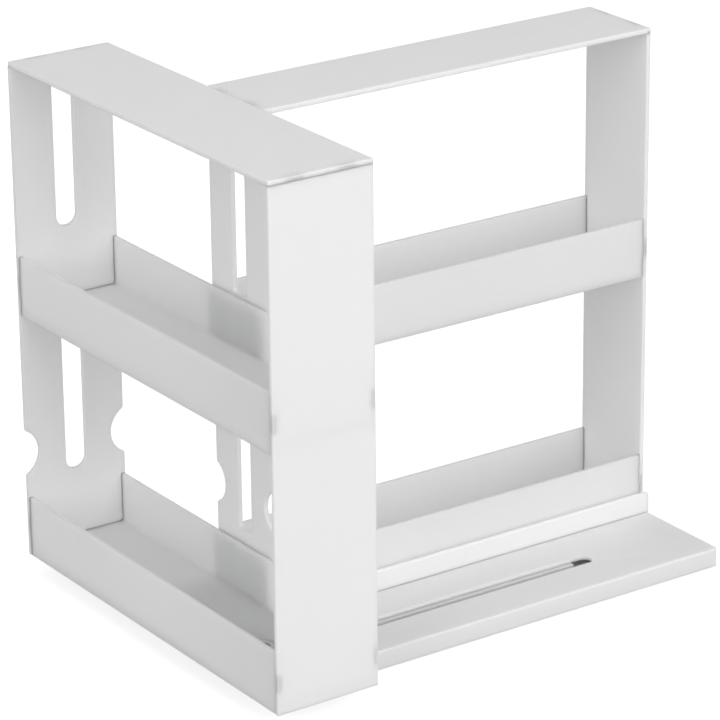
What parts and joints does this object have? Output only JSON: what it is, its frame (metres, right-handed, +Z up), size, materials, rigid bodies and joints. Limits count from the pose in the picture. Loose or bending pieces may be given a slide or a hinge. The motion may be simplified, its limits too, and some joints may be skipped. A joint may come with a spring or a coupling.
{
  "type": "slide-and-swivel double rack",
  "caption": "White cabinet organiser: a tiered rack fixed on a slotted base beside a matching rack that slides along it and swivels out.",
  "frame": {"origin": "centre of the whole bounding box's footprint, on the surface it stands on", "axes": "+X along the base's long groove towards the closed ends, +Y along the swung-out rack away from its pivot end, +Z up"},
  "size_m": [0.2396, 0.1906, 0.2253],
  "materials": {
    "rack_plastic": "satin moulded white",
    "base_plastic": "satin moulded white",
    "guide_plastic": "moulded white, slightly greyer",
    "nylon": "natural nylon",
    "screw_steel": "zinc plated",
    "foot_rubber": "soft grey"
  },
  "bodies": {
    "base": {"base_deck": "base_plastic", "base_rail": "base_plastic", "slot_guide": "guide_plastic", "base_cover": "base_plastic", "cover_screws": "screw_steel", "fixed_rack_screws": "screw_steel", "anti_slip_feet": "foot_rubber", "fixed_top_panel": "rack_plastic", "fixed_solid_end": "rack_plastic", "fixed_slotted_end": "rack_plastic", "fixed_middle_tray": "rack_plastic", "fixed_bottom_tray": "rack_plastic"},
    "carriage": {"carriage_stem": "nylon", "pivot_washer": "screw_steel", "pivot_screw": "screw_steel"},
    "swung_rack": {"swung_top_panel": "rack_plastic", "swung_solid_end": "rack_plastic", "swung_slotted_end": "rack_plastic", "swung_middle_tray": "rack_plastic", "swung_bottom_tray": "rack_plastic", "swivel_hub": "nylon", "hub_screws": "screw_steel", "glide_ring": "nylon"}
  },
  "joints": [
    {"name": "carriage_slide", "type": "slide", "parent": "base", "child": "carriage", "axis": [1, 0, 0], "range_m": [-0.0025, 0.0005]},
    {"name": "rack_swivel", "type": "hinge", "parent": "carriage", "child": "swung_rack", "pos_m": [-0.09625, -0.04625, 0.0088], "axis": [0, 0, 1], "range_deg": [0, 90]}
  ]
}
